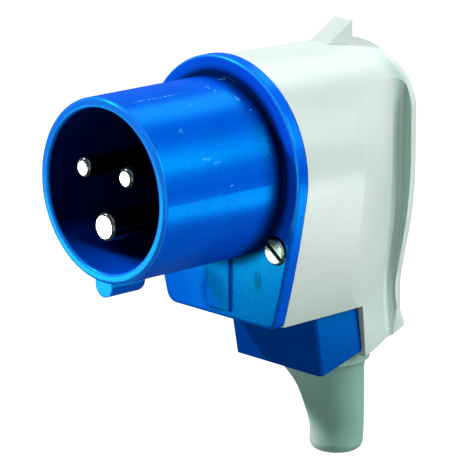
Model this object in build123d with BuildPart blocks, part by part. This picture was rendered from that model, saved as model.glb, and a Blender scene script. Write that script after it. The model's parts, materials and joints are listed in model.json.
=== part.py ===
from build123d import *

import math
import os

# Angled pin and sleeve plug, 16 A, 2 poles and earth, cable outlet downwards.
# Frame: +Z up, origin at the centre of the shroud mouth, which faces -Y.
# The shroud axis is the Y axis and the part is mirror symmetric about X = 0.

# Shroud and its key
SHROUD_RADIUS = 22.0
SHROUD_WALL = 2.5
SHROUD_LENGTH = 37.0
RIM_OUTER_FILLET = 0.9
RIM_INNER_FILLET = 0.7
KEY_WIDTH = 5.8
KEY_HEIGHT = 3.45
KEY_START = 0.3
KEY_LENGTH = 11.2
KEY_END_FILLET = 1.6

# Flange outline: an arc about the shroud axis, a long side arc down to a flat foot
FLANGE_RADIUS = 26.8
FLANGE_THICKNESS = 3.2
FLANGE_BOTTOM = -37.0
FLANGE_CORNER = 3.2
FLANGE_EDGE_FILLET = 0.8
SIDE_ARC_START = 10.0
SIDE_ARC_RADIUS = 270.0
PAD_WIDTH = 8.0
PAD_HEIGHT = 0.8
PAD_BOTTOM = -35.0
PAD_FILLET = 0.3

# Outlet block of the front housing, hanging behind the foot of the flange
BLOCK_HALF_WIDTH = 15.2
BLOCK_FRONT_TOP = 53.5
BLOCK_LEAN = 2.9
BLOCK_BOTTOM = -53.0
BLOCK_REAR_TOP = 68.3
BLOCK_REAR_LEAN = 2.2
BLOCK_CORNER_FILLET = 1.2
BLOCK_WALL = 2.3
OUTLET_SLOPE = 15.8
TONGUE_THICKNESS = 2.4

# Rear housing
GASKET_THICKNESS = 0.8
GASKET_SETBACK = 1.1
HOOD_SETBACK = 0.7
HOOD_REAR = 84.0
HOOD_DRAFT = 1.2
HOOD_WALL = 2.4
HOOD_REAR_FILLET = 2.8
NECK_HALF_WIDTH_TOP = 16.9
NECK_HALF_WIDTH_BOTTOM = 16.1
NECK_BOTTOM = -50.4
NECK_SLOPE = 22.5
SEAM_GAP = 0.35
FIT_CLEARANCE = 0.3

# Grip valley down each side of the rear housing: height, half width where it starts, half width of its floor
GRIP_START = 55.0
GRIP_ROOT_DEPTH = 3.0
GRIP_WALL = 2.0
GRIP_STATIONS = (
    (19.0, 18.0, 17.5),
    (13.0, 22.5, 17.5),
    (7.0, 25.0, 17.5),
    (0.0, 26.1, 17.5),
    (-6.0, 25.5, 17.4),
    (-13.0, 24.1, 17.1),
    (-20.0, 22.6, 16.4),
    (-26.0, 21.1, 15.5),
    (-33.0, 19.2, 14.6),
    (-38.0, 18.2, 14.7),
    (-42.0, 17.8, 15.3),
    (-46.5, 17.5, 15.8),
    (-52.0, 17.3, 15.6),
)

# Rim behind the grip valleys
RIM_THICKNESS = 3.4
RIM_LAP = 0.05
RIM_PROUD = 0.1
RIM_HALF_WIDTH = 20.8
RIM_BLEND_RADIUS = 12.0
RIM_BEND_START = -2.0
RIM_BEND_RADIUS = 90.0
RIM_LEAN = 13.0
RIM_LEAN_LENGTH = 8.4
RIM_TURN_RADIUS = 20.0
RIM_FLARE_TOP = -40.5
RIM_FLARE_BOTTOM = -43.5
RIM_FLARE = 1.4

# Latch nose on top of the rear housing
NOSE_HALF_WIDTH = 3.2
NOSE_FRONT = 68.4
NOSE_REAR = 77.9
NOSE_TOP = 30.2
NOSE_RISE = 5.6
NOSE_SINK = 1.6

# Contacts
PIN_CIRCLE_RADIUS = 8.6
PIN_SETBACK = 0.5
LIVE_PIN_RADIUS = 2.5
EARTH_PIN_RADIUS = 3.5
PIN_TIP_FILLET = 0.9
SHANK_STEP = 0.5
COLLAR_STEP = 1.4
TAIL_STEP = 0.7
TAIL_LENGTH = 9.0
WIRE_HOLE_RADIUS = 1.7
WIRE_HOLE_DEPTH = 7.0
CONTACT_CLEARANCE = 0.1

# Contact carrier and its retaining plate
CARRIER_FACE = 33.6
CARRIER_FLANGE_RADIUS = 21.0
CARRIER_FLANGE_THICKNESS = 2.5
CARRIER_BODY_RADIUS = 16.4
CARRIER_REAR = 44.4
COLLAR_DEPTH = 8.2
RETAINER_RADIUS = 15.2
RETAINER_THICKNESS = 2.0
SNAP_WIDTH = 4.5
SNAP_OVERLAP = 0.8
SNAP_HEIGHT = 1.5
SNAP_DEPTH = 2.4

# Screws
HOUSING_SCREW_X = 19.4
HOUSING_SCREW_Z = -17.1
HOUSING_SCREW_HEAD_RADIUS = 3.2
HOUSING_SCREW_HEAD_HEIGHT = 2.2
HOUSING_SCREW_SEAT = 1.4
HOUSING_SCREW_SHANK = 1.75
HOUSING_SCREW_LENGTH = 12.0
HEAD_CLEARANCE = 0.25
SLOT_WIDTH = 1.1
SLOT_DEPTH = 1.1
TERMINAL_SLOT_DEPTH = 0.55
HOUSING_SLOT_ANGLES = (20.0, -35.0)
INSERT_RADIUS = 2.2
INSERT_LENGTH = 8.0
INSERT_SETBACK = 1.2
BOSS_RADIUS = 3.0
BOSS_LENGTH = 11.0
SMALL_SCREW_SHANK = 1.45
SMALL_SCREW_HEAD_RADIUS = 2.6
SMALL_SCREW_HEAD_HEIGHT = 1.9
RETAINER_SCREW_CIRCLE = 11.2
RETAINER_SCREW_LENGTH = 7.0
TERMINAL_SCREW_LENGTH = 3.6
TERMINAL_SCREW_HEAD_RADIUS = 2.1
TERMINAL_SCREW_HEAD_HEIGHT = 1.4
TERMINAL_SCREW_STANDOFF = 0.8

# Cable clamp
CABLE_RADIUS = 4.7
CLAMP_PLANE = 72.0
CLAMP_TOP = -36.8
CLAMP_BOTTOM = -41.4
CLAMP_HALF_WIDTH = 11.2
SADDLE_DEPTH = 5.2
CRADLE_DEPTH = 8.0
CLAMP_SCREW_X = 8.0
CLAMP_SCREW_LENGTH = 11.5

# Bend protection boot: height, distance of its centre behind the mouth, radius
BOOT_STATIONS = (
    (-53.2, 70.6, 12.4),
    (-55.2, 71.7, 10.4),
    (-58.0, 73.0, 9.4),
    (-61.5, 74.4, 8.45),
    (-65.0, 75.3, 7.8),
    (-69.0, 76.15, 7.2),
    (-73.5, 76.7, 6.75),
    (-78.7, 76.8, 6.3),
)
BOOT_TIP_FILLET = 2.4
BOOT_TOP_RISE = 4.5
BOOT_BORE_RADIUS = 4.3
THROAT_RADIUS = 8.6
THROAT_CENTRE = 71.0
BOOT_COLLAR_THICKNESS = 2.2
BOOT_COLLAR_FRONT = 60.6
BOOT_COLLAR_REAR = 80.4
BOOT_COLLAR_CORNER = 2.5
BORE_TOP_CENTRE = 72.0

# Small features and modelling allowances
CRADLE_WEB = 3.6
CRADLE_WEB_OVERLAP = 1.0
CRADLE_SKIN = 1.0
KEY_OVERLAP = 1.0
WALL_OVERLAP = 1.0
SNAP_ANGLES = (15.0, 90.0, 165.0, 245.0, 295.0)
EDGE_BREAK = 0.4
TOLERANCE = 0.05
FAR = 60.0

# Derived stations along the shroud axis
FLANGE_FRONT = SHROUD_LENGTH
FLANGE_REAR = FLANGE_FRONT + FLANGE_THICKNESS
GASKET_REAR = FLANGE_REAR + GASKET_THICKNESS
SHROUD_BORE = SHROUD_RADIUS - SHROUD_WALL
COLLAR_FRONT = CARRIER_REAR - COLLAR_DEPTH
CARRIER_SEAT = FLANGE_REAR - CARRIER_FLANGE_THICKNESS
RETAINER_REAR = CARRIER_REAR + RETAINER_THICKNESS
TAIL_END = CARRIER_REAR + TAIL_LENGTH
TERMINAL_STATION = TAIL_END - WIRE_HOLE_DEPTH / 2
HOOD_INSIDE = HOOD_SETBACK + HOOD_WALL
HOOD_BACK_WALL = HOOD_REAR - HOOD_WALL
NECK_REAR = HOOD_REAR + WALL_OVERLAP
KEY_ROUND_CENTRE = KEY_WIDTH / 2 - SHROUD_RADIUS - KEY_HEIGHT
KEY_ROOT = KEY_OVERLAP - SHROUD_RADIUS
PAD_TOP = KEY_OVERLAP - SHROUD_RADIUS
CLAMP_MIDDLE = (CLAMP_TOP + CLAMP_BOTTOM) / 2
CLAMP_SCREW_XS = (-CLAMP_SCREW_X, CLAMP_SCREW_X)
SADDLE_REAR = CLAMP_PLANE + SADDLE_DEPTH
HOUSING_SCREW_XS = (-HOUSING_SCREW_X, HOUSING_SCREW_X)
HOUSING_HEAD_REAR = FLANGE_FRONT + HOUSING_SCREW_SEAT
HOUSING_HEAD_FRONT = HOUSING_HEAD_REAR - HOUSING_SCREW_HEAD_HEIGHT
INSERT_FRONT = GASKET_REAR + INSERT_SETBACK
HOOD_SLOT_HALF_WIDTH = BLOCK_HALF_WIDTH + FIT_CLEARANCE
RIM_FRONT = HOOD_REAR - RIM_THICKNESS
GRIP_END = RIM_FRONT - GRIP_ROOT_DEPTH
HOOD_LENGTH = HOOD_REAR - GASKET_REAR
CROWN_DRAFT = (HOOD_LENGTH - RIM_THICKNESS) * math.tan(math.radians(HOOD_DRAFT))
CROWN_REAR_RADIUS = FLANGE_RADIUS - HOOD_SETBACK - CROWN_DRAFT + RIM_PROUD
HOLLOW_TOP = FLANGE_BOTTOM + TONGUE_THICKNESS + FIT_CLEARANCE
THROAT_REACH = 5.0
NOSE_BASE = NOSE_TOP - NOSE_RISE
CONTACTS = {
    "contact_line": (30.0, LIVE_PIN_RADIUS),
    "contact_neutral": (150.0, LIVE_PIN_RADIUS),
    "contact_earth": (270.0, EARTH_PIN_RADIUS),
}
RETAINER_SCREW_ANGLES = (90.0, 210.0, 330.0)
SLOT_REACH = 3 * HOUSING_SCREW_HEAD_RADIUS


def station(y: float) -> Plane:
    """A sketch plane across the shroud axis at y, facing the mouth, with local y along +Z."""
    return Plane.XZ.offset(-y)


def outline(inset: float, bottom: float, corner: float = 0.0) -> Sketch:
    """The flange outline drawn in by inset, ending in a flat foot at the height bottom."""
    start = math.radians(SIDE_ARC_START)
    radius = FLANGE_RADIUS - inset
    centre_x = -(SIDE_ARC_RADIUS - FLANGE_RADIUS) * math.cos(start)
    centre_z = (SIDE_ARC_RADIUS - FLANGE_RADIUS) * math.sin(start)
    foot_x = centre_x + math.sqrt((SIDE_ARC_RADIUS - inset) ** 2 - (bottom - centre_z) ** 2)
    with BuildSketch() as shape:
        with BuildLine():
            crown = CenterArc((0, 0), radius, -SIDE_ARC_START, 90 + SIDE_ARC_START)
            TangentArc(crown @ 0, (foot_x, bottom), tangent=-(crown % 0))
            mirror(about=Plane.YZ)
            Line((-foot_x, bottom), (foot_x, bottom))
        make_face()
        if corner > 0:
            fillet(shape.vertices().group_by(Axis.Y)[0], radius=corner)
    return shape.sketch


def contact_position(angle: float, circle: float) -> tuple[float, float]:
    """The x and z of a point on a circle about the shroud axis."""
    return circle * math.cos(math.radians(angle)), circle * math.sin(math.radians(angle))


def block_front(z: float) -> float:
    """The leaning front face of the outlet block, as y at the height z."""
    return BLOCK_FRONT_TOP + BLOCK_LEAN * (FLANGE_BOTTOM - z) / (FLANGE_BOTTOM - BLOCK_BOTTOM)


def block_rear(z: float) -> float:
    """The leaning seam between outlet block and rear housing, as y at the height z."""
    return BLOCK_REAR_TOP + BLOCK_REAR_LEAN * (FLANGE_BOTTOM - z) / (FLANGE_BOTTOM - BLOCK_BOTTOM)


def outlet_floor(y: float, lift: float = 0.0) -> float:
    """The height of the sloping underside of the outlet at y, raised square to itself by lift."""
    slope = math.radians(OUTLET_SLOPE)
    return BLOCK_BOTTOM + (y - block_front(BLOCK_BOTTOM)) * math.tan(slope) + lift / math.cos(slope)


def neck_floor(y: float) -> float:
    """The height of the underside of the rear housing's neck at y."""
    return NECK_BOTTOM + (y - block_rear(NECK_BOTTOM)) * math.tan(math.radians(NECK_SLOPE))


def grip_section(side: float, floor: float, wall: float) -> Sketch:
    """Plan of the room outside a grip valley: a convex shoulder, a tight root and the rim's front."""
    depth = side - floor
    turn = 2 * math.atan2(depth, GRIP_END - GRIP_START)
    radius = GRIP_ROOT_DEPTH / (1 + math.sin(turn))
    start = (side - wall, GRIP_START - wall)
    foot = (floor - wall, GRIP_END - wall)
    root = (floor - wall + radius * math.cos(turn), RIM_FRONT - wall)
    with BuildSketch() as shape:
        with BuildLine():
            shoulder = TangentArc(start, foot, tangent=(0, 1))
            if wall > 0:
                Polyline(foot, (floor - wall, 2 * HOOD_REAR), (FAR, 2 * HOOD_REAR), (FAR, start[1]), start)
            else:
                TangentArc(foot, root, tangent=shoulder % 1)
                Polyline(root, (FAR, RIM_FRONT), (FAR, start[1]), start)
        make_face()
    return shape.sketch


OUTLET_PLANE = Plane(
    origin=(0, THROAT_CENTRE, outlet_floor(THROAT_CENTRE, BLOCK_WALL)),
    x_dir=(1, 0, 0),
    z_dir=(0, -math.sin(math.radians(OUTLET_SLOPE)), math.cos(math.radians(OUTLET_SLOPE))),
)

BORE_TIP = Vector(0, BOOT_STATIONS[-1][1], BOOT_STATIONS[-1][0] - WALL_OVERLAP)
BORE_HEAD = Vector(0, BORE_TOP_CENTRE, CLAMP_BOTTOM)
BORE_PLANE = Plane(origin=BORE_TIP, z_dir=(BORE_HEAD - BORE_TIP).normalized())
BLOCK_REAR_FOOT = outlet_floor(block_rear(BLOCK_BOTTOM))
SEAM_FOOT = block_rear(BLOCK_REAR_FOOT) + SEAM_GAP
HOLLOW_FRONT_TOP = BLOCK_FRONT_TOP + BLOCK_WALL
HOLLOW_FRONT_FOOT = block_front(BLOCK_BOTTOM) + BLOCK_WALL

os.makedirs("parts", exist_ok=True)

# Fill of the cable outlet: the hollow shared by the outlet block and the neck behind it
with BuildPart() as outlet_hollow:
    with BuildSketch(Plane.YZ):
        with BuildLine():
            Polyline(
                (HOLLOW_FRONT_TOP, HOLLOW_TOP),
                (HOLLOW_FRONT_FOOT, outlet_floor(HOLLOW_FRONT_FOOT, BLOCK_WALL)),
                (HOOD_BACK_WALL, outlet_floor(HOOD_BACK_WALL, BLOCK_WALL)),
                (HOOD_BACK_WALL, HOLLOW_TOP),
                close=True,
            )
        make_face()
    extrude(amount=CLAMP_HALF_WIDTH + FIT_CLEARANCE, both=True)
    with BuildSketch(OUTLET_PLANE.offset(-THROAT_REACH)):
        Circle(THROAT_RADIUS + FIT_CLEARANCE)
    extrude(amount=THROAT_REACH + BLOCK_WALL)

# Front housing: shroud, key, flange, foot tongue and the front half of the cable outlet
with BuildPart() as front_housing:
    with BuildSketch(station(FLANGE_FRONT)):
        add(outline(0, FLANGE_BOTTOM, FLANGE_CORNER))
    extrude(amount=-FLANGE_THICKNESS)
    fillet(faces().sort_by(Axis.Y)[0].outer_wire().edges(), radius=FLANGE_EDGE_FILLET)
    with BuildSketch(station(FLANGE_FRONT)):
        with Locations((0, (PAD_BOTTOM + PAD_TOP) / 2)):
            Rectangle(PAD_WIDTH, PAD_TOP - PAD_BOTTOM)
    extrude(amount=PAD_HEIGHT)
    fillet(faces().sort_by(Axis.Y)[0].outer_wire().edges(), radius=PAD_FILLET)
    with BuildSketch(station(0)):
        Circle(SHROUD_RADIUS)
    extrude(amount=-SHROUD_LENGTH)
    fillet(faces().sort_by(Axis.Y)[0].outer_wire().edges(), radius=RIM_OUTER_FILLET)
    with BuildSketch(station(KEY_START)):
        with Locations((0, KEY_ROUND_CENTRE)):
            Circle(KEY_WIDTH / 2)
        with Locations((0, (KEY_ROUND_CENTRE + KEY_ROOT) / 2)):
            Rectangle(KEY_WIDTH, KEY_ROOT - KEY_ROUND_CENTRE)
    extrude(amount=-KEY_LENGTH)
    key_end = edges().filter_by(lambda e: abs(e.center().Y - KEY_START - KEY_LENGTH) < TOLERANCE)
    fillet(key_end.sort_by(Axis.Z)[0], radius=KEY_END_FILLET)
    with BuildSketch(station(FLANGE_REAR)):
        with Locations((0, FLANGE_BOTTOM + TONGUE_THICKNESS / 2)):
            Rectangle(2 * BLOCK_HALF_WIDTH, TONGUE_THICKNESS)
    extrude(amount=-(BLOCK_REAR_TOP - FLANGE_REAR))
    with BuildSketch(Plane.YZ):
        with BuildLine():
            Polyline(
                (BLOCK_FRONT_TOP, FLANGE_BOTTOM),
                (block_front(BLOCK_BOTTOM), BLOCK_BOTTOM),
                (block_rear(BLOCK_REAR_FOOT), BLOCK_REAR_FOOT),
                (BLOCK_REAR_TOP, FLANGE_BOTTOM),
                close=True,
            )
        make_face()
    extrude(amount=BLOCK_HALF_WIDTH, both=True)
    block_corners = edges().filter_by(
        lambda e: e.center().Z < FLANGE_BOTTOM - TOLERANCE
        and abs(abs(e.center().X) - BLOCK_HALF_WIDTH) < TOLERANCE
        and abs(e.center().Y - block_front(e.center().Z)) < TOLERANCE
    )
    fillet(block_corners, radius=BLOCK_CORNER_FILLET)
    add(outlet_hollow.part, mode=Mode.SUBTRACT)
    with BuildSketch(station(FLANGE_REAR)):
        Circle(CARRIER_FLANGE_RADIUS + FIT_CLEARANCE)
    extrude(amount=CARRIER_FLANGE_THICKNESS, mode=Mode.SUBTRACT)
    with BuildSketch(station(0)):
        Circle(SHROUD_BORE)
    extrude(amount=-FLANGE_REAR, mode=Mode.SUBTRACT)
    mouth = edges().filter_by(GeomType.CIRCLE).filter_by(lambda e: abs(e.radius - SHROUD_BORE) < TOLERANCE)
    fillet(mouth.sort_by(Axis.Y)[0], radius=RIM_INNER_FILLET)
    with BuildSketch(station(FLANGE_REAR)):
        for angle in SNAP_ANGLES:
            with PolarLocations(CARRIER_FLANGE_RADIUS - SNAP_OVERLAP + SNAP_DEPTH / 2, 1, start_angle=angle):
                Rectangle(SNAP_DEPTH, SNAP_WIDTH)
    extrude(amount=-SNAP_HEIGHT)
    screw_seats = [station(FLANGE_FRONT).location * Pos(x, HOUSING_SCREW_Z, 0) for x in HOUSING_SCREW_XS]
    with Locations(*screw_seats):
        CounterBoreHole(
            radius=HOUSING_SCREW_SHANK + FIT_CLEARANCE,
            counter_bore_radius=HOUSING_SCREW_HEAD_RADIUS + HEAD_CLEARANCE,
            counter_bore_depth=HOUSING_SCREW_SEAT,
            depth=FLANGE_THICKNESS,
        )
    with BuildSketch(Plane.XY.offset(CLAMP_BOTTOM)):
        with Locations((0, CLAMP_PLANE - CRADLE_DEPTH / 2)):
            Rectangle(2 * CLAMP_HALF_WIDTH, CRADLE_DEPTH)
        with Locations((0, CLAMP_PLANE - CRADLE_DEPTH + CRADLE_WEB / 2)):
            Rectangle(2 * CLAMP_HALF_WIDTH + 2 * CRADLE_WEB_OVERLAP, CRADLE_WEB)
        with Locations((0, CLAMP_PLANE)):
            Circle(CABLE_RADIUS, mode=Mode.SUBTRACT)
    extrude(amount=CLAMP_TOP - CLAMP_BOTTOM)
    clamp_plane = station(CLAMP_PLANE).location
    with Locations(*(clamp_plane * Pos(x, CLAMP_MIDDLE, 0) * Rot(180, 0, 0) for x in CLAMP_SCREW_XS)):
        Hole(radius=SMALL_SCREW_SHANK + CONTACT_CLEARANCE, depth=CRADLE_DEPTH - CRADLE_SKIN)
front_housing.part.label = "front_housing"
export_step(front_housing.part, "parts/front_housing.step")

# Gasket between flange and rear housing, open at the foot where the tongue passes
with BuildPart() as housing_gasket:
    with BuildSketch(station(GASKET_REAR)):
        add(outline(GASKET_SETBACK, FLANGE_BOTTOM + EDGE_BREAK))
        add(outline(HOOD_INSIDE, FLANGE_BOTTOM - HOOD_WALL), mode=Mode.SUBTRACT)
        with Locations(*((x, HOUSING_SCREW_Z) for x in HOUSING_SCREW_XS)):
            Circle(HOUSING_SCREW_SHANK + FIT_CLEARANCE, mode=Mode.SUBTRACT)
    extrude(amount=GASKET_THICKNESS)
housing_gasket.part.label = "housing_gasket"
export_step(housing_gasket.part, "parts/housing_gasket.step")

# Contact carrier: the black insert that fills the foot of the shroud and holds the contacts
with BuildPart() as contact_carrier:
    with BuildSketch(station(CARRIER_FACE)):
        Circle(SHROUD_BORE - FIT_CLEARANCE)
    extrude(amount=-(CARRIER_SEAT - CARRIER_FACE))
    with BuildSketch(station(CARRIER_SEAT)):
        Circle(CARRIER_FLANGE_RADIUS)
    extrude(amount=-CARRIER_FLANGE_THICKNESS)
    with BuildSketch(station(FLANGE_REAR)):
        Circle(CARRIER_BODY_RADIUS)
    extrude(amount=-(CARRIER_REAR - FLANGE_REAR))
    with BuildSketch(station(CARRIER_FACE)):
        for angle, pin_radius in CONTACTS.values():
            with Locations(contact_position(angle, PIN_CIRCLE_RADIUS)):
                Circle(pin_radius + SHANK_STEP + CONTACT_CLEARANCE)
    extrude(amount=-(CARRIER_REAR - CARRIER_FACE), mode=Mode.SUBTRACT)
    with BuildSketch(station(COLLAR_FRONT)):
        for angle, pin_radius in CONTACTS.values():
            with Locations(contact_position(angle, PIN_CIRCLE_RADIUS)):
                Circle(pin_radius + COLLAR_STEP + CONTACT_CLEARANCE)
    extrude(amount=-COLLAR_DEPTH, mode=Mode.SUBTRACT)
    with BuildSketch(station(CARRIER_REAR)):
        for angle in RETAINER_SCREW_ANGLES:
            with Locations(contact_position(angle, RETAINER_SCREW_CIRCLE)):
                Circle(SMALL_SCREW_SHANK + CONTACT_CLEARANCE)
    extrude(amount=RETAINER_SCREW_LENGTH, mode=Mode.SUBTRACT)
contact_carrier.part.label = "contact_carrier"
export_step(contact_carrier.part, "parts/contact_carrier.step")

# Contacts: round pin, shank and captive collar, and a terminal tail with a wire hole and a screw hole
for name, (angle, pin_radius) in CONTACTS.items():
    x, z = contact_position(angle, PIN_CIRCLE_RADIUS)
    with BuildPart() as contact:
        with BuildSketch(station(PIN_SETBACK)):
            with Locations((x, z)):
                Circle(pin_radius)
        extrude(amount=-(CARRIER_FACE - PIN_SETBACK))
        fillet(faces().sort_by(Axis.Y)[0].outer_wire().edges(), radius=PIN_TIP_FILLET)
        with BuildSketch(station(CARRIER_FACE)):
            with Locations((x, z)):
                Circle(pin_radius + SHANK_STEP)
        extrude(amount=-(COLLAR_FRONT - CARRIER_FACE))
        with BuildSketch(station(COLLAR_FRONT)):
            with Locations((x, z)):
                Circle(pin_radius + COLLAR_STEP)
        extrude(amount=-COLLAR_DEPTH)
        with BuildSketch(station(CARRIER_REAR)):
            with Locations((x, z)):
                Circle(pin_radius + TAIL_STEP)
        extrude(amount=-TAIL_LENGTH)
        with BuildSketch(station(TAIL_END)):
            with Locations((x, z)):
                Circle(WIRE_HOLE_RADIUS)
        extrude(amount=WIRE_HOLE_DEPTH, mode=Mode.SUBTRACT)
        outward = Vector(math.cos(math.radians(angle)), 0, math.sin(math.radians(angle)))
        with BuildSketch(Plane(origin=(x, TERMINAL_STATION, z), z_dir=outward)):
            Circle(SMALL_SCREW_SHANK + CONTACT_CLEARANCE)
        extrude(amount=pin_radius + TAIL_STEP + WALL_OVERLAP, mode=Mode.SUBTRACT)
    contact.part.label = name
    export_step(contact.part, f"parts/{name}.step")

# Retaining plate that holds the contact collars in the carrier
with BuildPart() as contact_retainer:
    with BuildSketch(station(CARRIER_REAR)):
        Circle(RETAINER_RADIUS)
        for angle, pin_radius in CONTACTS.values():
            with Locations(contact_position(angle, PIN_CIRCLE_RADIUS)):
                Circle(pin_radius + TAIL_STEP + CONTACT_CLEARANCE, mode=Mode.SUBTRACT)
        for angle in RETAINER_SCREW_ANGLES:
            with Locations(contact_position(angle, RETAINER_SCREW_CIRCLE)):
                Circle(SMALL_SCREW_SHANK + CONTACT_CLEARANCE, mode=Mode.SUBTRACT)
    extrude(amount=-RETAINER_THICKNESS)
contact_retainer.part.label = "contact_retainer"
export_step(contact_retainer.part, "parts/contact_retainer.step")

# Retainer screws: three slotted screws driven forwards into the carrier
with BuildPart() as retainer_screws:
    spots = [contact_position(angle, RETAINER_SCREW_CIRCLE) for angle in RETAINER_SCREW_ANGLES]
    with BuildSketch(station(RETAINER_REAR)):
        with Locations(*spots):
            Circle(SMALL_SCREW_HEAD_RADIUS)
    extrude(amount=-SMALL_SCREW_HEAD_HEIGHT)
    with BuildSketch(station(RETAINER_REAR + SMALL_SCREW_HEAD_HEIGHT)):
        with Locations(*spots):
            Rectangle(SLOT_REACH, SLOT_WIDTH)
    extrude(amount=SLOT_DEPTH, mode=Mode.SUBTRACT)
    with BuildSketch(station(RETAINER_REAR)):
        with Locations(*spots):
            Circle(SMALL_SCREW_SHANK)
    extrude(amount=RETAINER_SCREW_LENGTH)
retainer_screws.part.label = "retainer_screws"
export_step(retainer_screws.part, "parts/retainer_screws.step")

# Terminal screws: one in each contact tail, driven inwards to the wire hole
with BuildPart() as terminal_screws:
    for angle, pin_radius in CONTACTS.values():
        seat = PIN_CIRCLE_RADIUS + pin_radius + TAIL_STEP + TERMINAL_SCREW_STANDOFF
        x, z = contact_position(angle, seat)
        outward = Vector(math.cos(math.radians(angle)), 0, math.sin(math.radians(angle)))
        with BuildSketch(Plane(origin=(x, TERMINAL_STATION, z), x_dir=(0, 1, 0), z_dir=outward)):
            Circle(SMALL_SCREW_SHANK)
        extrude(amount=-TERMINAL_SCREW_LENGTH)
        with BuildSketch(Plane(origin=(x, TERMINAL_STATION, z), x_dir=(0, 1, 0), z_dir=outward)):
            Circle(TERMINAL_SCREW_HEAD_RADIUS)
        extrude(amount=TERMINAL_SCREW_HEAD_HEIGHT)
        head_plane = Plane(origin=(x, TERMINAL_STATION, z), x_dir=(0, 1, 0), z_dir=outward)
        with BuildSketch(head_plane.offset(TERMINAL_SCREW_HEAD_HEIGHT)):
            Rectangle(SLOT_REACH, SLOT_WIDTH)
        extrude(amount=-TERMINAL_SLOT_DEPTH, mode=Mode.SUBTRACT)
terminal_screws.part.label = "terminal_screws"
export_step(terminal_screws.part, "parts/terminal_screws.step")

# Room outside the shoulders of both grip valleys, grown by the wall, which the hollow stays clear of
with BuildPart() as grip_walls:
    for height, side, floor in GRIP_STATIONS:
        with BuildSketch(Plane.XY.offset(height)):
            add(grip_section(side, floor, GRIP_WALL))
    loft()
    extrude(faces().sort_by(Axis.Z)[0], amount=FAR)
    extrude(faces().sort_by(Axis.Z)[-1], amount=FAR)
    mirror(about=Plane.YZ)

# Hollow of the rear housing, which keeps an even wall along the grip valleys
with BuildPart() as hood_hollow:
    with BuildSketch(station(GASKET_REAR - WALL_OVERLAP)):
        add(outline(HOOD_INSIDE, FLANGE_BOTTOM + WALL_OVERLAP))
    extrude(amount=-(HOOD_BACK_WALL - GASKET_REAR + WALL_OVERLAP))
    add(grip_walls.part, mode=Mode.SUBTRACT)

# Grip valleys, as the solids cut away ahead of the rim
with BuildPart() as grip_valleys:
    for height, side, floor in GRIP_STATIONS:
        with BuildSketch(Plane.XY.offset(height)):
            add(grip_section(side, floor, 0))
    loft()
    extrude(faces().sort_by(Axis.Z)[0], amount=FAR)
    extrude(faces().sort_by(Axis.Z)[-1], amount=FAR)
    mirror(about=Plane.YZ)

# Rim behind the grip valleys: crown, blend, sides that bend inwards and a flared foot, rounded at the back
with BuildPart() as rim_plate:
    blend_reach = CROWN_REAR_RADIUS - RIM_BLEND_RADIUS
    blend_x = RIM_HALF_WIDTH - RIM_BLEND_RADIUS
    blend_z = math.sqrt(blend_reach**2 - blend_x**2)
    blend_angle = math.degrees(math.atan2(blend_z, blend_x))
    with BuildSketch(station(RIM_FRONT - RIM_LAP)):
        with BuildLine():
            CenterArc((0, 0), CROWN_REAR_RADIUS, blend_angle, 90 - blend_angle)
            CenterArc((blend_x, blend_z), RIM_BLEND_RADIUS, 0, blend_angle)
            Line((RIM_HALF_WIDTH, blend_z), (RIM_HALF_WIDTH, RIM_BEND_START))
            bend = CenterArc((RIM_HALF_WIDTH - RIM_BEND_RADIUS, RIM_BEND_START), RIM_BEND_RADIUS, 0, -RIM_LEAN)
            lean_line = Line(bend @ 1, bend @ 1 + (bend % 1) * RIM_LEAN_LENGTH)
            turn_foot = lean_line @ 1 - Vector(
                RIM_TURN_RADIUS * (1 - math.cos(math.radians(RIM_LEAN))),
                RIM_TURN_RADIUS * math.sin(math.radians(RIM_LEAN)),
            )
            TangentArc(lean_line @ 1, turn_foot, tangent=lean_line % 1)
            Polyline(
                turn_foot,
                (turn_foot.X, RIM_FLARE_TOP),
                (turn_foot.X + RIM_FLARE, RIM_FLARE_BOTTOM),
                (turn_foot.X + RIM_FLARE, NECK_BOTTOM),
                (0, NECK_BOTTOM),
            )
            mirror(about=Plane.YZ)
        make_face()
    extrude(amount=-(RIM_THICKNESS + RIM_LAP))
    rear_edges = faces().sort_by(Axis.Y)[-1].outer_wire().edges()
    fillet(rear_edges.sort_by(Axis.Z)[1:], radius=HOOD_REAR_FILLET)

# Room around the rim, which is cut away from the back of the housing
with BuildPart() as outside_rim:
    with BuildSketch(station(RIM_FRONT - RIM_LAP)):
        Rectangle(4 * FAR, 4 * FAR)
    extrude(amount=-FAR)
    add(rim_plate.part, mode=Mode.SUBTRACT)

# Neck of the rear housing, which closes the outlet from behind
with BuildPart() as neck_block:
    with BuildSketch(station(NECK_REAR)):
        with BuildLine():
            Polyline(
                (-NECK_HALF_WIDTH_TOP, FLANGE_BOTTOM + WALL_OVERLAP),
                (-NECK_HALF_WIDTH_BOTTOM, NECK_BOTTOM),
                (NECK_HALF_WIDTH_BOTTOM, NECK_BOTTOM),
                (NECK_HALF_WIDTH_TOP, FLANGE_BOTTOM + WALL_OVERLAP),
                close=True,
            )
        make_face()
    extrude(amount=NECK_REAR - BLOCK_REAR_TOP)
    with BuildSketch(Plane.YZ):
        with BuildLine():
            Polyline(
                (block_rear(FLANGE_BOTTOM + WALL_OVERLAP) + SEAM_GAP, FLANGE_BOTTOM + WALL_OVERLAP),
                (block_rear(NECK_BOTTOM) + SEAM_GAP, NECK_BOTTOM),
                (NECK_REAR, neck_floor(NECK_REAR)),
                (NECK_REAR, FLANGE_BOTTOM + WALL_OVERLAP),
                close=True,
            )
        make_face()
    extrude(amount=FLANGE_RADIUS, both=True, mode=Mode.INTERSECT)

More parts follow.
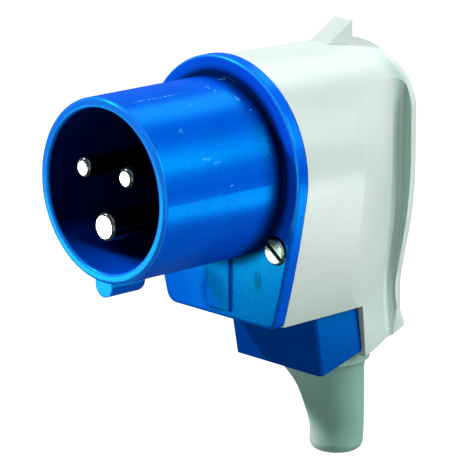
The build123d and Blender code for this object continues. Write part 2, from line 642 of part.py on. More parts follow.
# Rear housing: the grey hood with its grip valleys, latch nose and the neck of the outlet
with BuildPart() as rear_housing:
    with BuildSketch(station(GASKET_REAR)):
        add(outline(HOOD_SETBACK, FLANGE_BOTTOM - HOOD_WALL))
    extrude(amount=-(HOOD_LENGTH + WALL_OVERLAP), taper=HOOD_DRAFT)
    with BuildSketch(Plane.XY.offset(FLANGE_BOTTOM)):
        with Locations((0, HOOD_REAR / 2)):
            Rectangle(2 * FAR, 2 * HOOD_REAR)
    extrude(amount=-FAR, mode=Mode.SUBTRACT)
    add(neck_block.part)
    with BuildSketch(Plane.YZ):
        with BuildLine():
            Polyline(
                (NOSE_FRONT, NOSE_BASE),
                (NOSE_REAR, NOSE_TOP),
                (NOSE_REAR, NOSE_BASE - NOSE_SINK),
                (NOSE_FRONT, NOSE_BASE - NOSE_SINK),
                close=True,
            )
        make_face()
    extrude(amount=NOSE_HALF_WIDTH, both=True)
    add(grip_valleys.part, mode=Mode.SUBTRACT)
    add(outside_rim.part, mode=Mode.SUBTRACT)
    add(hood_hollow.part, mode=Mode.SUBTRACT)
    add(outlet_hollow.part, mode=Mode.SUBTRACT)
    with BuildSketch(Plane.XY.offset(FLANGE_BOTTOM - WALL_OVERLAP)):
        with Locations((0, (GASKET_REAR - WALL_OVERLAP + BLOCK_REAR_TOP + SEAM_GAP) / 2)):
            Rectangle(2 * HOOD_SLOT_HALF_WIDTH, BLOCK_REAR_TOP + SEAM_GAP - GASKET_REAR + WALL_OVERLAP)
    extrude(amount=HOLLOW_TOP - FLANGE_BOTTOM + WALL_OVERLAP, mode=Mode.SUBTRACT)
    with BuildSketch(station(GASKET_REAR)):
        with Locations(*((x, HOUSING_SCREW_Z) for x in HOUSING_SCREW_XS)):
            Circle(BOSS_RADIUS)
    extrude(amount=-BOSS_LENGTH)
    with BuildSketch(station(GASKET_REAR)):
        with Locations(*((x, HOUSING_SCREW_Z) for x in HOUSING_SCREW_XS)):
            Circle(INSERT_RADIUS + TOLERANCE)
    extrude(amount=-(BOSS_LENGTH - INSERT_SETBACK), mode=Mode.SUBTRACT)
rear_housing.part.label = "rear_housing"
export_step(rear_housing.part, "parts/rear_housing.step")

# Housing screws: two slotted cheese heads sunk in the flange
with BuildPart() as housing_screws:
    with BuildSketch(station(HOUSING_HEAD_FRONT)):
        with Locations(*((x, HOUSING_SCREW_Z) for x in HOUSING_SCREW_XS)):
            Circle(HOUSING_SCREW_HEAD_RADIUS)
    extrude(amount=-HOUSING_SCREW_HEAD_HEIGHT)
    fillet(edges().group_by(Axis.Y)[0], radius=EDGE_BREAK)
    with BuildSketch(station(HOUSING_HEAD_FRONT)):
        for x, angle in zip(HOUSING_SCREW_XS, HOUSING_SLOT_ANGLES):
            with Locations((x, HOUSING_SCREW_Z)):
                Rectangle(SLOT_REACH, SLOT_WIDTH, rotation=angle)
    extrude(amount=-SLOT_DEPTH, mode=Mode.SUBTRACT)
    with BuildSketch(station(HOUSING_HEAD_REAR)):
        with Locations(*((x, HOUSING_SCREW_Z) for x in HOUSING_SCREW_XS)):
            Circle(HOUSING_SCREW_SHANK)
    extrude(amount=-HOUSING_SCREW_LENGTH)
housing_screws.part.label = "housing_screws"
export_step(housing_screws.part, "parts/housing_screws.step")

# Threaded inserts in the bosses of the rear housing
with BuildPart() as housing_inserts:
    with BuildSketch(station(INSERT_FRONT)):
        with Locations(*((x, HOUSING_SCREW_Z) for x in HOUSING_SCREW_XS)):
            Circle(INSERT_RADIUS)
            Circle(HOUSING_SCREW_SHANK + TOLERANCE, mode=Mode.SUBTRACT)
    extrude(amount=-INSERT_LENGTH)
housing_inserts.part.label = "housing_inserts"
export_step(housing_inserts.part, "parts/housing_inserts.step")

# Cable clamp saddle, screwed from behind against the cradle of the front housing
with BuildPart() as cable_clamp_saddle:
    with BuildSketch(Plane.XY.offset(CLAMP_BOTTOM)):
        with Locations((0, CLAMP_PLANE + SADDLE_DEPTH / 2)):
            Rectangle(2 * CLAMP_HALF_WIDTH, SADDLE_DEPTH)
        with Locations((0, CLAMP_PLANE)):
            Circle(CABLE_RADIUS, mode=Mode.SUBTRACT)
    extrude(amount=CLAMP_TOP - CLAMP_BOTTOM)
    with BuildSketch(station(CLAMP_PLANE)):
        with Locations(*((x, CLAMP_MIDDLE) for x in CLAMP_SCREW_XS)):
            Circle(SMALL_SCREW_SHANK + CONTACT_CLEARANCE)
    extrude(amount=-SADDLE_DEPTH, mode=Mode.SUBTRACT)
cable_clamp_saddle.part.label = "cable_clamp_saddle"
export_step(cable_clamp_saddle.part, "parts/cable_clamp_saddle.step")

# Clamp screws: two slotted screws driven forwards through the saddle
with BuildPart() as cable_clamp_screws:
    with BuildSketch(station(SADDLE_REAR)):
        with Locations(*((x, CLAMP_MIDDLE) for x in CLAMP_SCREW_XS)):
            Circle(SMALL_SCREW_HEAD_RADIUS)
    extrude(amount=-SMALL_SCREW_HEAD_HEIGHT)
    with BuildSketch(station(SADDLE_REAR + SMALL_SCREW_HEAD_HEIGHT)):
        with Locations(*((x, CLAMP_MIDDLE) for x in CLAMP_SCREW_XS)):
            Rectangle(SLOT_REACH, SLOT_WIDTH)
    extrude(amount=SLOT_DEPTH, mode=Mode.SUBTRACT)
    with BuildSketch(station(SADDLE_REAR)):
        with Locations(*((x, CLAMP_MIDDLE) for x in CLAMP_SCREW_XS)):
            Circle(SMALL_SCREW_SHANK)
    extrude(amount=CLAMP_SCREW_LENGTH)
cable_clamp_screws.part.label = "cable_clamp_screws"
export_step(cable_clamp_screws.part, "parts/cable_clamp_screws.step")

# Room above the underside of the outlet, which the skirt of the boot is trimmed to
with BuildPart() as above_outlet:
    with BuildSketch(Plane.YZ):
        with BuildLine():
            Polyline(
                (0, outlet_floor(0)),
                (SEAM_FOOT, outlet_floor(SEAM_FOOT)),
                (block_rear(NECK_BOTTOM) + SEAM_GAP, NECK_BOTTOM),
                (HOOD_REAR + FAR, neck_floor(HOOD_REAR + FAR)),
                (HOOD_REAR + FAR, FAR),
                (0, FAR),
                close=True,
            )
        make_face()
    extrude(amount=FAR, both=True)

# Bend protection boot: inner collar, throat, skirt and the tapering sleeve
with BuildPart() as cable_boot:
    skirt_z, skirt_y, skirt_radius = BOOT_STATIONS[0]
    for z, y, radius in BOOT_STATIONS:
        with BuildSketch(Plane.XY.offset(z)):
            with Locations((0, y)):
                Circle(radius)
    loft()
    fillet(faces().sort_by(Axis.Z)[0].edges(), radius=BOOT_TIP_FILLET)
    with BuildSketch(Plane.XY.offset(skirt_z)):
        with Locations((0, skirt_y)):
            Circle(skirt_radius)
    extrude(amount=BOOT_TOP_RISE)
    add(above_outlet.part, mode=Mode.SUBTRACT)
    with BuildSketch(OUTLET_PLANE.offset(-THROAT_REACH)):
        Circle(THROAT_RADIUS)
    extrude(amount=THROAT_REACH)
    with BuildSketch(OUTLET_PLANE):
        with Locations((0, (BOOT_COLLAR_FRONT + BOOT_COLLAR_REAR) / 2 - THROAT_CENTRE)):
            RectangleRounded(2 * CLAMP_HALF_WIDTH, BOOT_COLLAR_REAR - BOOT_COLLAR_FRONT, BOOT_COLLAR_CORNER)
    extrude(amount=BOOT_COLLAR_THICKNESS)
    with BuildSketch(BORE_PLANE):
        Circle(BOOT_BORE_RADIUS)
    extrude(amount=2 * FAR, mode=Mode.SUBTRACT)
cable_boot.part.label = "cable_boot"
export_step(cable_boot.part, "parts/cable_boot.step")
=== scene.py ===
"""Looks of the angled pin and sleeve plug: finishes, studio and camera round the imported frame."""

import json
import logging
import math
from dataclasses import dataclass
from enum import Enum
from functools import reduce
from operator import mul

import bmesh
import bpy
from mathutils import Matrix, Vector

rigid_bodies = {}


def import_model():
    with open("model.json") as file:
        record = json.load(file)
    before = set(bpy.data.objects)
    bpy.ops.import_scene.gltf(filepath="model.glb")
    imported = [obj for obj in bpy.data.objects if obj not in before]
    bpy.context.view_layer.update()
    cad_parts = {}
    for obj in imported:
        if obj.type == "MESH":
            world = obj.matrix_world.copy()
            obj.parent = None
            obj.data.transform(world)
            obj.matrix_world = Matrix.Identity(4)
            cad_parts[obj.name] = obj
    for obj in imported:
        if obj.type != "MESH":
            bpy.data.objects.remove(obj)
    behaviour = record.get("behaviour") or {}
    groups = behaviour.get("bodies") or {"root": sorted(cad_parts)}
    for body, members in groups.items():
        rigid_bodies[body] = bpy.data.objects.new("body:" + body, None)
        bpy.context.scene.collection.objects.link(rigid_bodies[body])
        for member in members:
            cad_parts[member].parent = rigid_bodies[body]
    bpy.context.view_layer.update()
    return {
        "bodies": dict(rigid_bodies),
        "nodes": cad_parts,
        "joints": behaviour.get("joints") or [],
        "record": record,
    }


log = logging.getLogger("plug")

Pair = tuple[float, float]
Triple = tuple[float, float, float]

MM = 0.001
WHITE = (1.0, 1.0, 1.0)

# The Mix node's sockets for colours. Their names aren't unique, so they go by number.
MIX_FACTOR, MIX_FIRST, MIX_SECOND, MIX_RESULT = 0, 6, 7, 2

# What all finishes share. Steps hold the values that give 0 and 1.
NOISE_MIDDLE = 0.5
CLOUD_OCTAVES = 3.0
CLOUD_STEP = (0.35, 0.7)
GRAIN_OCTAVES = 2.0
TORN_SIZE = 0.5
TORN_OCTAVES = 4.0
BLOT_STEP = (1.0, 0.4)
EDGE_SAMPLES = 4


class Kind(Enum):
    """Shader node types used by the finishes, the floor and the world."""

    MATH = "ShaderNodeMath"
    MIX = "ShaderNodeMix"
    VECTOR_MATH = "ShaderNodeVectorMath"
    COORDINATES = "ShaderNodeTexCoord"
    SEPARATE = "ShaderNodeSeparateXYZ"
    NOISE = "ShaderNodeTexNoise"
    RANGE = "ShaderNodeMapRange"
    BUMP = "ShaderNodeBump"
    BEVEL = "ShaderNodeBevel"
    PRINCIPLED = "ShaderNodeBsdfPrincipled"
    DIFFUSE = "ShaderNodeBsdfDiffuse"
    EMISSION = "ShaderNodeEmission"
    BACKGROUND = "ShaderNodeBackground"
    LIGHT_PATH = "ShaderNodeLightPath"
    MIX_SHADER = "ShaderNodeMixShader"
    ADD_SHADER = "ShaderNodeAddShader"
    MATERIAL_OUTPUT = "ShaderNodeOutputMaterial"
    WORLD_OUTPUT = "ShaderNodeOutputWorld"


class Operation(Enum):
    """Operations of the Math and Vector Math nodes."""

    ADD = "ADD"
    SUBTRACT = "SUBTRACT"
    MULTIPLY = "MULTIPLY"
    DIVIDE = "DIVIDE"
    POWER = "POWER"
    MAXIMUM = "MAXIMUM"
    LENGTH = "LENGTH"


class Socket:
    """A node's output whose operators add Math nodes."""

    def __init__(self, graph: "Graph", link: bpy.types.NodeSocket) -> None:
        """Keep the output and the graph it belongs to.

        Args:
            graph: The graph that new nodes go into.
            link: The output socket that this object stands for.
        """
        self.graph = graph
        self.link = link

    def _math(self, operation: Operation, *values: "Socket | float") -> "Socket":
        """Add one Math node.

        Args:
            operation: What the node does.
            values: Its inputs in order.

        Returns:
            The node's output.
        """
        settings = {"operation": operation.value}
        return self.graph.node(Kind.MATH, settings, dict(enumerate(values)))

    def __add__(self, other: "Socket | float") -> "Socket":
        """Return self + other."""
        return self._math(Operation.ADD, self, other)

    __radd__ = __add__

    def __sub__(self, other: "Socket | float") -> "Socket":
        """Return self - other."""
        return self._math(Operation.SUBTRACT, self, other)

    def __rsub__(self, other: float) -> "Socket":
        """Return other - self."""
        return self._math(Operation.SUBTRACT, other, self)

    def __mul__(self, other: "Socket | float") -> "Socket":
        """Return self * other."""
        return self._math(Operation.MULTIPLY, self, other)

    __rmul__ = __mul__

    def __pow__(self, other: float) -> "Socket":
        """Return self raised to other."""
        return self._math(Operation.POWER, self, other)

    def larger(self, other: "Socket | float") -> "Socket":
        """Return the larger of self and other."""
        return self._math(Operation.MAXIMUM, self, other)

    def ramp(self, low: float, high: float) -> "Socket":
        """Turn the value into a smooth step from 0 to 1.

        Args:
            low: The value that gives 0. It may be the larger one.
            high: The value that gives 1.

        Returns:
            The smooth step.
        """
        settings = {"interpolation_type": "SMOOTHSTEP"}
        limits = {"From Min": min(low, high), "From Max": max(low, high)}
        step = self.graph.node(Kind.RANGE, settings, {"Value": self, **limits})
        return step if low <= high else 1.0 - step


def rgba(colour: Socket | Triple) -> Socket | tuple[float, float, float, float]:
    """Add full opacity to a plain colour.

    Args:
        colour: A colour or a link.

    Returns:
        The colour with four numbers, or the link as it was.
    """
    return colour if isinstance(colour, Socket) else (*colour, 1.0)


class Graph:
    """A node tree that a finish, the floor or the world is written into."""

    def __init__(self, tree: bpy.types.NodeTree) -> None:
        """Empty a tree and keep it.

        Args:
            tree: The node tree to fill.
        """
        self.tree = tree
        tree.nodes.clear()

    def node(
        self,
        kind: Kind,
        settings: dict[str, object] | None = None,
        inputs: dict[str | int, object] | None = None,
        output: str | int = 0,
    ) -> Socket:
        """Add any node that has an output.

        Args:
            kind: The node's type.
            settings: Attributes, which are set before the sockets.
            inputs: Values or links by socket name or number.
            output: The output to return.

        Returns:
            The chosen output.
        """
        made = self.tree.nodes.new(kind.value)
        for key, value in (settings or {}).items():
            setattr(made, key, value)
        for key, value in (inputs or {}).items():
            if isinstance(value, Socket):
                self.tree.links.new(value.link, made.inputs[key])
            else:
                made.inputs[key].default_value = value
        return Socket(self, made.outputs[output])

    def output(self, shader: Socket, kind: Kind = Kind.MATERIAL_OUTPUT) -> None:
        """Connect the finished shader.

        Args:
            shader: The finished shader.
            kind: The output node's type.
        """
        end = self.tree.nodes.new(kind.value)
        self.tree.links.new(shader.link, end.inputs["Surface"])

    def mix(self, factor: Socket, first: Socket | Triple, second: Socket | Triple) -> Socket:
        """Blend two colours.

        Args:
            factor: 0 gives the first colour and 1 the second.
            first: A colour or a link.
            second: A colour or a link.

        Returns:
            The blended colour.
        """
        inputs = {MIX_FACTOR: factor, MIX_FIRST: rgba(first), MIX_SECOND: rgba(second)}
        return self.node(Kind.MIX, {"data_type": "RGBA"}, inputs, output=MIX_RESULT)

    def noise(self, where: Socket, size: float, octaves: float) -> Socket:
        """Add smooth noise from 0 to 1.

        Args:
            where: Coordinates in metres.
            size: The size of one feature, in millimetres.
            octaves: The number of finer octaves.

        Returns:
            The noise value.
        """
        inputs = {"Vector": where, "Scale": 1.0 / (size * MM), "Detail": octaves}
        return self.node(Kind.NOISE, {}, inputs)

    def by_axis(self, operation: Operation, where: Socket, amounts: Triple) -> Socket:
        """Shift or divide coordinates by plain lengths.

        Args:
            operation: What the Vector Math node does.
            where: Coordinates in metres.
            amounts: One length for each axis, in millimetres.

        Returns:
            The new coordinates.
        """
        lengths = [amount * MM for amount in amounts]
        return self.node(Kind.VECTOR_MATH, {"operation": operation.value}, {0: where, 1: lengths})


def blank_material(name: str) -> tuple[bpy.types.Material, Graph]:
    """Make a material with an empty node tree.

    Args:
        name: The material's name.

    Returns:
        The material and the graph of its tree.
    """
    material = bpy.data.materials.new(name)
    material.use_nodes = True
    return material, Graph(material.node_tree)


@dataclass(frozen=True)
class Spot:
    """A soft blot on a surface: its place and reach in millimetres, and its strength."""

    place: Triple
    reach: Triple
    strength: float = 1.0

    def mask(self, graph: Graph, where: Socket) -> Socket:
        """Work out where the blot lies.

        Args:
            graph: The graph to write in.
            where: Coordinates in metres.

        Returns:
            The strength in the blot's middle and 0 outside its reach.
        """
        offset = graph.by_axis(Operation.SUBTRACT, where, self.place)
        share = graph.by_axis(Operation.DIVIDE, offset, self.reach)
        settings = {"operation": Operation.LENGTH.value}
        distance = graph.node(Kind.VECTOR_MATH, settings, {0: share}, output="Value")
        return distance.ramp(*BLOT_STEP) * self.strength


@dataclass(frozen=True)
class Wear:
    """Blots with torn edges, such as scratches and rubbed places."""

    colour: Triple
    spots: tuple[Spot, ...]
    torn_step: Pair
    height: float = 0.0
    roughness: float = 0.0

    def mask(self, graph: Graph, where: Socket) -> Socket:
        """Join the blots and tear their edges.

        Args:
            graph: The graph to write in.
            where: Coordinates in metres.

        Returns:
            The wear's strength at each place.
        """
        joined = reduce(Socket.larger, (spot.mask(graph, where) for spot in self.spots))
        return joined * graph.noise(where, TORN_SIZE, TORN_OCTAVES).ramp(*self.torn_step)


@dataclass(frozen=True)
class Region:
    """A part of a surface, bounded along and about a line parallel to the shroud's axis.

    Each bound holds two lengths in millimetres: where the region has faded out and where it is
    full. A bound that is left out doesn't limit the region.
    """

    radius: Pair | None = None
    start: Pair | None = None
    end: Pair | None = None
    height: Pair | None = None
    centre: Pair = (0.0, 0.0)

    def mask(self, graph: Graph, where: Socket) -> Socket:
        """Work out where the region lies.

        Args:
            graph: The graph to write in.
            where: Coordinates in metres.

        Returns:
            1 inside the region and 0 outside.
        """
        across, along, height = (
            graph.node(Kind.SEPARATE, {}, {"Vector": where}, output=axis) for axis in "XYZ"
        )
        sideways, upwards = across - self.centre[0] * MM, height - self.centre[1] * MM
        radius = (sideways * sideways + upwards * upwards) ** 0.5
        limits = (
            (radius, self.radius),
            (along, self.start),
            (along, self.end),
            (height, self.height),
        )
        steps = [value.ramp(bound[0] * MM, bound[1] * MM) for value, bound in limits if bound]
        return reduce(mul, steps)


@dataclass(frozen=True)
class Tone:
    """Another colour in a region; here mostly painted shade or painted highlights."""

    region: Region
    colour: Triple
    strength: float = 1.0


@dataclass(frozen=True)
class Dulling:
    """Less coloured gloss in a region of a surface."""

    region: Region
    strength: float = 1.0


@dataclass(frozen=True)
class Gloss:
    """A coloured mirror layer over a surface, with its share of the light."""

    colour: Triple
    share: float
    dullings: tuple[Dulling, ...] = ()

    def over(self, base: Socket, where: Socket, surface: dict[str, object]) -> Socket:
        """Lay the gloss over a shader.

        Args:
            base: The shader under the gloss.
            where: Coordinates in metres.
            surface: The roughness and normal that both layers share.

        Returns:
            The shader with its gloss.
        """
        graph = base.graph
        inputs = {"Base Color": rgba(self.colour), "Metallic": 1.0, **surface}
        layer = graph.node(Kind.PRINCIPLED, {}, inputs)
        share = self.share
        for dulling in self.dullings:
            share = share * (1.0 - dulling.region.mask(graph, where) * dulling.strength)
        return graph.node(Kind.MIX_SHADER, {}, {0: share, 1: base, 2: layer})


@dataclass(frozen=True)
class Finish:
    """A moulded, rubber or metal finish. Sizes are in millimetres."""

    name: str
    colour: Triple
    shade: Triple
    roughness: float
    roughness_spread: float = 0.06
    metallic: float = 0.0
    specular: float = 0.5
    mottle: float = 9.0
    grain: float = 0.6
    grain_depth: float = 0.01
    edge_radius: float = 0.25
    gloss: Gloss | None = None
    tones: tuple[Tone, ...] = ()
    wear: tuple[Wear, ...] = ()

    def build(self) -> bpy.types.Material:
        """Make the material.

        Returns:
            The Blender material.
        """
        material, graph = blank_material(self.name)
        where = graph.node(Kind.COORDINATES, output="Object")
        cloud = graph.noise(where, self.mottle, CLOUD_OCTAVES)
        grain = graph.noise(where, self.grain, GRAIN_OCTAVES)
        colour = graph.mix(cloud.ramp(*CLOUD_STEP), self.colour, self.shade)
        spread = (cloud - NOISE_MIDDLE) + (grain - NOISE_MIDDLE)
        roughness = spread * self.roughness_spread + self.roughness
        height = grain * self.grain_depth
        for tone in self.tones:
            mask = tone.region.mask(graph, where) * tone.strength
            colour = graph.mix(mask, colour, tone.colour)
        for wear in self.wear:
            mask = wear.mask(graph, where)
            colour = graph.mix(mask, colour, wear.colour)
            height = height + mask * wear.height
            roughness = roughness + mask * wear.roughness
        surface = {"Roughness": roughness, "Normal": self._normal(graph, height)}
        inputs = {
            "Base Color": colour,
            "Metallic": self.metallic,
            "Specular IOR Level": self.specular,
            **surface,
        }
        shader = graph.node(Kind.PRINCIPLED, {}, inputs)
        if self.gloss:
            shader = self.gloss.over(shader, where, surface)
        graph.output(shader)
        return material

    def _normal(self, graph: Graph, height: Socket) -> Socket:
        """Round the edges and raise the grain.

        Args:
            graph: The graph to write in.
            height: The relief, in millimetres.

        Returns:
            The surface normal.
        """
        samples = {"samples": EDGE_SAMPLES}
        rounded = graph.node(Kind.BEVEL, samples, {"Radius": self.edge_radius * MM})
        inputs = {"Height": height, "Distance": MM, "Strength": 1.0, "Normal": rounded}
        return graph.node(Kind.BUMP, {}, inputs)


BORE = Region(radius=(19.8, 19.6), start=(0.2, 1.0))
BORE_ROOF = Region(radius=(19.8, 19.6), start=(0.2, 1.0), height=(-14.0, -10.0))
BORE_DEPTH = Region(radius=(19.8, 19.6), start=(7.0, 15.0))
SHROUD_RIM = Region(radius=(19.3, 19.7), end=(0.9, 0.6))
SHROUD_ROOT = Region(radius=(24.8, 22.4), start=(29.0, 36.6))
ROOT_AND_FLANGE = Region(radius=(25.8, 22.4), start=(32.5, 37.0))
FLANGE_TOP = Region(radius=(23.0, 25.0), start=(36.0, 36.5), height=(2.0, 12.0))
FLANGE_EDGE = Region(
    radius=(26.2, 26.45), start=(36.6, 36.9), end=(37.6, 37.35), height=(-13.0, -9.0)
)
SEAM_LINE = Region(start=(40.9, 41.2), end=(42.1, 41.9))
PAD_MIDDLE = Region(radius=(6.5, 3.0), start=(36.0, 36.4), end=(38.5, 38.0), centre=(-2.0, -31.0))
OUTLET_BLOCK = Region(start=(44.0, 46.0), height=(-36.4, -37.0))
RIGHT_SCREW_RING = Region(radius=(3.75, 3.5), start=(36.5, 36.9), centre=(19.4, -17.1))
LEFT_SCREW_RING = Region(radius=(3.75, 3.5), start=(36.5, 36.9), centre=(-19.4, -17.1))
LOWER_HOOD = Region(height=(-24.0, -44.0))
VALLEY_ROOT = Region(start=(76.0, 79.6), end=(81.0, 80.75), height=(25.0, 19.0))
BOOT_TIP_LEFT = Region(radius=(12.5, 5.0), centre=(-8.0, -77.0))
CONTACT_SIDES = Region(start=(0.503, 0.515))
UPPER_CONTACT_EDGES = Region(start=(0.95, 1.1), end=(2.1, 1.9), height=(5.2, 5.7))
EARTH_CONTACT_EDGE = Region(
    radius=(4.2, 4.0), start=(0.95, 1.1), end=(2.1, 1.9), height=(-7.2, -6.6), centre=(0.0, -8.6)
)

# Painted shade inside the shroud's bore, where the rim's shadow falls.
BORE_PAINTED_SHADE = (0.0, 0.012, 0.12)
# Painted shade in the recesses round the housing screws.
SCREW_RING_PAINTED_SHADE = (0.0, 0.006, 0.03)
# A painted highlight on the edges of the contact tips.
PAINTED_EDGE_HIGHLIGHT = (0.80, 0.84, 0.80)

SCRATCHES = Wear(
    colour=(0.12, 0.5, 1.0),
    spots=(
        Spot((5.8, 11.3, 21.2), (0.35, 11.0, 1.2), 0.8),
        Spot((5.4, 28.3, 21.3), (1.2, 1.0, 1.2), 0.9),
        Spot((7.1, 28.7, 20.8), (0.8, 0.7, 0.8), 0.9),
        Spot((11.1, 32.3, 19.0), (1.3, 0.8, 1.3), 0.7),
        Spot((10.4, 18.1, 19.4), (0.5, 0.5, 0.5), 1.0),
        Spot((2.8, 35.2, 21.8), (0.7, 1.6, 0.7), 0.8),
        Spot((15.8, 10.4, 15.3), (1.0, 0.8, 1.0), 0.9),
        Spot((20.1, 14.2, 8.9), (0.7, 2.4, 0.7), 0.7),
        Spot((20.7, 17.4, 7.5), (0.6, 1.6, 0.6), 0.7),
        Spot((21.9, 20.6, 2.0), (0.5, 0.8, 0.5), 0.6),
        Spot((14.5, 33.3, 16.6), (0.5, 1.0, 0.5), 0.7),
    ),
    torn_step=(0.5, 0.62),
    height=0.03,
)
FLANGE_SCUFF = Wear(
    colour=(0.0, 0.02, 0.06),
    spots=(Spot((13.3, 37.0, -25.6), (1.8, 1.0, 3.4)),),
    torn_step=(0.42, 0.58),
    roughness=0.25,
)

BLUE = Finish(
    name="blue_plastic",
    colour=(0.0, 0.078, 0.67),
    shade=(0.0, 0.066, 0.59),
    roughness=0.27,
    specular=0.0,
    grain=0.9,
    grain_depth=0.0015,
    edge_radius=0.4,
    gloss=Gloss(
        colour=(0.0, 0.55, 0.95),
        share=0.07,
        dullings=(
            # Less gloss where shade is painted (bore, pad, root, seam) and on the darker outlet
            # block.
            Dulling(BORE, 0.7),
            Dulling(OUTLET_BLOCK, 0.7),
            Dulling(PAD_MIDDLE, 0.6),
            Dulling(ROOT_AND_FLANGE, 0.85),
            Dulling(SEAM_LINE),
        ),
    ),
    tones=(
        # Painted shade: the bore darkened above its lit floor near the mouth and all round further
        # in.
        Tone(BORE_ROOF, BORE_PAINTED_SHADE),
        Tone(BORE_DEPTH, BORE_PAINTED_SHADE),
        # Painted light: the rim's face a lighter blue.
        Tone(SHROUD_RIM, (0.012, 0.2, 0.95), 0.9),
        # Painted shadow at the shroud's root, on the shroud's end and the flange beside it.
        Tone(SHROUD_ROOT, (0.0, 0.006, 0.06), 0.93),
        # Painted shade along the seam between the flange and the grey housing.
        Tone(SEAM_LINE, (0.0, 0.004, 0.02)),
        # Painted light on the upper part of the flange's front face.
        Tone(FLANGE_TOP, (0.004, 0.11, 0.95), 0.6),
        # A painted highlight along the flange's front edge.
        Tone(FLANGE_EDGE, (0.02, 0.3, 0.95), 0.8),
        Tone(OUTLET_BLOCK, (0.0, 0.045, 0.32)),
        # Painted shade in the pad's middle, where the shroud's shadow falls.
        Tone(PAD_MIDDLE, (0.0, 0.03, 0.3), 0.55),
        # Painted shade in the recesses round both housing screws.
        Tone(RIGHT_SCREW_RING, SCREW_RING_PAINTED_SHADE),
        Tone(LEFT_SCREW_RING, SCREW_RING_PAINTED_SHADE),
    ),
    wear=(SCRATCHES, FLANGE_SCUFF),
)
GREY = Finish(
    name="grey_plastic",
    colour=(0.59, 0.69, 0.645),
    shade=(0.55, 0.66, 0.615),
    roughness=0.38,
    specular=0.45,
    mottle=14.0,
    grain=0.8,
    grain_depth=0.006,
    tones=(
        # Painted shade: the hood darker and greener towards the bottom.
        Tone(LOWER_HOOD, (0.38, 0.52, 0.46), 0.65),
        # Painted shade in the root of the grip valley, in front of the rear rim.
        Tone(VALLEY_ROOT, (0.33, 0.52, 0.43), 0.7),
    ),
)
BLACK = Finish(
    name="black_plastic",
    colour=(0.004, 0.004, 0.006),
    shade=(0.006, 0.006, 0.009),
    roughness=0.55,
    specular=0.25,
)
SEAL = Finish(
    name="black_rubber",
    colour=(0.004, 0.004, 0.005),
    shade=(0.008, 0.008, 0.009),
    roughness=0.7,
    specular=0.2,
)
BOOT = Finish(
    name="boot_rubber",
    colour=(0.205, 0.41, 0.335),
    shade=(0.17, 0.36, 0.29),
    roughness=0.55,
    specular=0.3,
    grain=0.5,
    grain_depth=0.02,
    # Painted light: the boot's tip paler on its left, lit side.
    tones=(Tone(BOOT_TIP_LEFT, (0.5, 0.6, 0.56), 0.9),),
)
PLATED = Finish(
    name="plated_brass",
    colour=(0.84, 0.87, 0.82),
    shade=(0.66, 0.72, 0.68),
    roughness=0.16,
    metallic=1.0,
    mottle=2.0,
    grain=0.4,
    grain_depth=0.004,
    tones=(
        # Painted shade: the contacts' sides almost black, standing in for their dark reflections.
        Tone(CONTACT_SIDES, (0.02, 0.03, 0.03), 0.97),
        # Painted highlights: bright arcs on the tip edges of the contacts.
        Tone(UPPER_CONTACT_EDGES, PAINTED_EDGE_HIGHLIGHT, 0.9),
        Tone(EARTH_CONTACT_EDGE, PAINTED_EDGE_HIGHLIGHT, 0.9),
    ),
)
BRASS = Finish(
    name="plain_brass",
    colour=(0.78, 0.58, 0.25),
    shade=(0.70, 0.50, 0.20),
    roughness=0.3,
    metallic=1.0,
)
ZINC = Finish(
    name="zinc_steel",
    colour=(0.26, 0.33, 0.28),
    shade=(0.10, 0.15, 0.12),
    roughness=0.26,
    metallic=1.0,
    mottle=2.5,
    grain=0.3,
    grain_depth=0.006,
    edge_radius=0.15,
)
FINISHES = (BLUE, GREY, BLACK, SEAL, BOOT, PLATED, BRASS, ZINC)


@dataclass
class Dresser:
    """Gives every CAD node the finish of its material slot."""

    frame: dict

    def build(self) -> None:
        """Make the finishes, assign them and report each node."""
        materials = {finish.name: finish.build() for finish in FINISHES}
        subparts = self.frame["record"]["subparts"]
        slots = {entry["node"]: entry["material_slot"] for entry in subparts}
        for name, node in self.frame["nodes"].items():
            node.data.materials.clear()
            node.data.materials.append(materials[slots[name]])
            log.info("%s: %s", name, slots[name])


@dataclass(frozen=True)
class Lamp:
    """A soft rectangular lamp. Lengths are in metres and the power is in watts."""

    name: str
    place: Triple
    aim: Triple
    size: Pair
    power: float
    mirror_only: bool = False

    def build(self) -> None:
        """Add the lamp to the scene."""
        data = bpy.data.lights.new(self.name, "AREA")
        data.shape = "RECTANGLE"
        data.size, data.size_y = self.size
        data.energy = self.power
        lamp = bpy.data.objects.new(self.name, data)
        lamp.location = self.place
        lamp.visible_diffuse = not self.mirror_only
        towards = Vector(self.aim) - Vector(self.place)
        lamp.rotation_euler = towards.to_track_quat("-Z", "Y").to_euler()
        bpy.context.scene.collection.objects.link(lamp)


BODY_LAMPS = (
    Lamp("key", (-0.65, -0.53, 0.71), (0.0, 0.02, 0.0), (0.12, 0.12), 13.4),
    Lamp("back", (-0.14, 0.55, 0.6), (0.0, 0.04, 0.02), (0.3, 0.2), 1.3),
    Lamp("side", (0.85, 0.49, 0.57), (0.0, 0.05, 0.0), (0.5, 0.5), 12.4),
    Lamp("front", (0.1, -0.6, -0.05), (0.0, 0.03, -0.02), (0.3, 0.3), 0.42),
)
MIRROR_LAMPS = (
    Lamp("strip", (0.12, 0.117, -0.057), (0.022, 0.018, -0.002), (0.12, 0.04), 0.11, True),
    Lamp("low", (-0.057, -0.029, -0.053), (0.014, 0.037, -0.028), (0.012, 0.03), 0.008, True),
    Lamp("mouth", (-0.079, -0.066, -0.04), (-0.008, 0.0, -0.015), (0.04, 0.034), 0.065, True),
    Lamp("edge", (0.33, -0.32, -0.12), (0.02, 0.03, -0.01), (0.3, 0.3), 1.3, True),
)


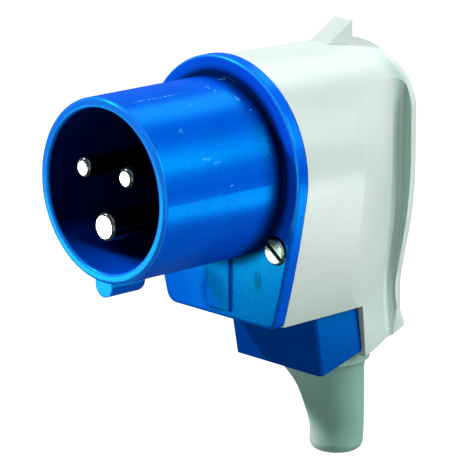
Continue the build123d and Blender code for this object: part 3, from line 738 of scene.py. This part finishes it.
@dataclass
class Studio:
    """Camera, lamps, floor and world.

    The camera's aim, distance and view width are in millimetres, its angles in degrees, and the
    floor's sizes in metres.
    """

    azimuth: float = 47.0
    elevation: float = 14.5
    aim: Triple = (22.99, 20.88, -9.94)
    distance: float = 833.3
    view_width: float = 108.9
    sensor_width: float = 36.0
    nearest: float = 0.01
    floor_height: float = -0.2
    floor_reach: float = 6.0
    floor_colour: Triple = (0.38, 0.38, 0.38)
    floor_glow: float = 0.92
    soft_light: float = 0.05
    background: float = 1.0

    def build(self) -> None:
        """Add everything that isn't part of the object."""
        scene = bpy.context.scene
        scene.view_settings.view_transform = "Standard"
        self._camera(scene)
        for lamp in (*BODY_LAMPS, *MIRROR_LAMPS):
            lamp.build()
        self._floor(scene)
        self._world(scene)

    def _camera(self, scene: bpy.types.Scene) -> None:
        """Add the camera at the photograph's viewing angle.

        Args:
            scene: The scene that uses it.
        """
        turn, tilt = math.radians(self.azimuth), math.radians(self.elevation)
        level = math.cos(tilt)
        away = Vector((math.sin(turn) * level, -math.cos(turn) * level, math.sin(tilt)))
        data = bpy.data.cameras.new("camera")
        data.sensor_width = self.sensor_width
        data.lens = self.sensor_width * self.distance / self.view_width
        data.clip_start = self.nearest
        camera = bpy.data.objects.new("camera", data)
        camera.location = Vector(self.aim) * MM + away * self.distance * MM
        camera.rotation_euler = (-away).to_track_quat("-Z", "Y").to_euler()
        scene.collection.objects.link(camera)
        scene.camera = camera

    def _floor(self, scene: bpy.types.Scene) -> None:
        """Add a pale floor that looks white to the camera and keeps a faint shadow.

        Args:
            scene: The scene that it stands in.
        """
        mesh = bpy.data.meshes.new("floor")
        shape = bmesh.new()
        bmesh.ops.create_grid(shape, x_segments=1, y_segments=1, size=self.floor_reach)
        shape.to_mesh(mesh)
        shape.free()
        floor = bpy.data.objects.new("floor", mesh)
        floor.location = (0.0, 0.0, self.floor_height)
        scene.collection.objects.link(floor)
        material, graph = blank_material("floor")
        seen = graph.node(Kind.LIGHT_PATH, output="Is Camera Ray")
        diffuse = graph.node(Kind.DIFFUSE, {}, {"Color": rgba(self.floor_colour)})
        light = {"Color": rgba(WHITE), "Strength": self.floor_glow}
        lit = graph.node(Kind.ADD_SHADER, {}, {0: diffuse, 1: graph.node(Kind.EMISSION, {}, light)})
        graph.output(graph.node(Kind.MIX_SHADER, {}, {0: seen, 1: diffuse, 2: lit}))
        mesh.materials.append(material)

    def _world(self, scene: bpy.types.Scene) -> None:
        """Add a world that is white to camera, mirror and clear rays and dim to the rest.

        Args:
            scene: The scene that uses it.
        """
        world = bpy.data.worlds.new("studio")
        world.use_nodes = True
        graph = Graph(world.node_tree)
        rays = ("Is Camera Ray", "Is Glossy Ray", "Is Transmission Ray")
        seen = reduce(Socket.larger, (graph.node(Kind.LIGHT_PATH, output=ray) for ray in rays))
        dim, white = (
            graph.node(Kind.BACKGROUND, {}, {"Color": rgba(WHITE), "Strength": strength})
            for strength in (self.soft_light, self.background)
        )
        shader = graph.node(Kind.MIX_SHADER, {}, {0: seen, 1: dim, 2: white})
        graph.output(shader, Kind.WORLD_OUTPUT)
        scene.world = world


def main() -> None:
    """Load the frame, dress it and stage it."""
    logging.basicConfig(level=logging.INFO)
    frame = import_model()
    Dresser(frame).build()
    Studio().build()


if __name__ == "__main__":
    main()
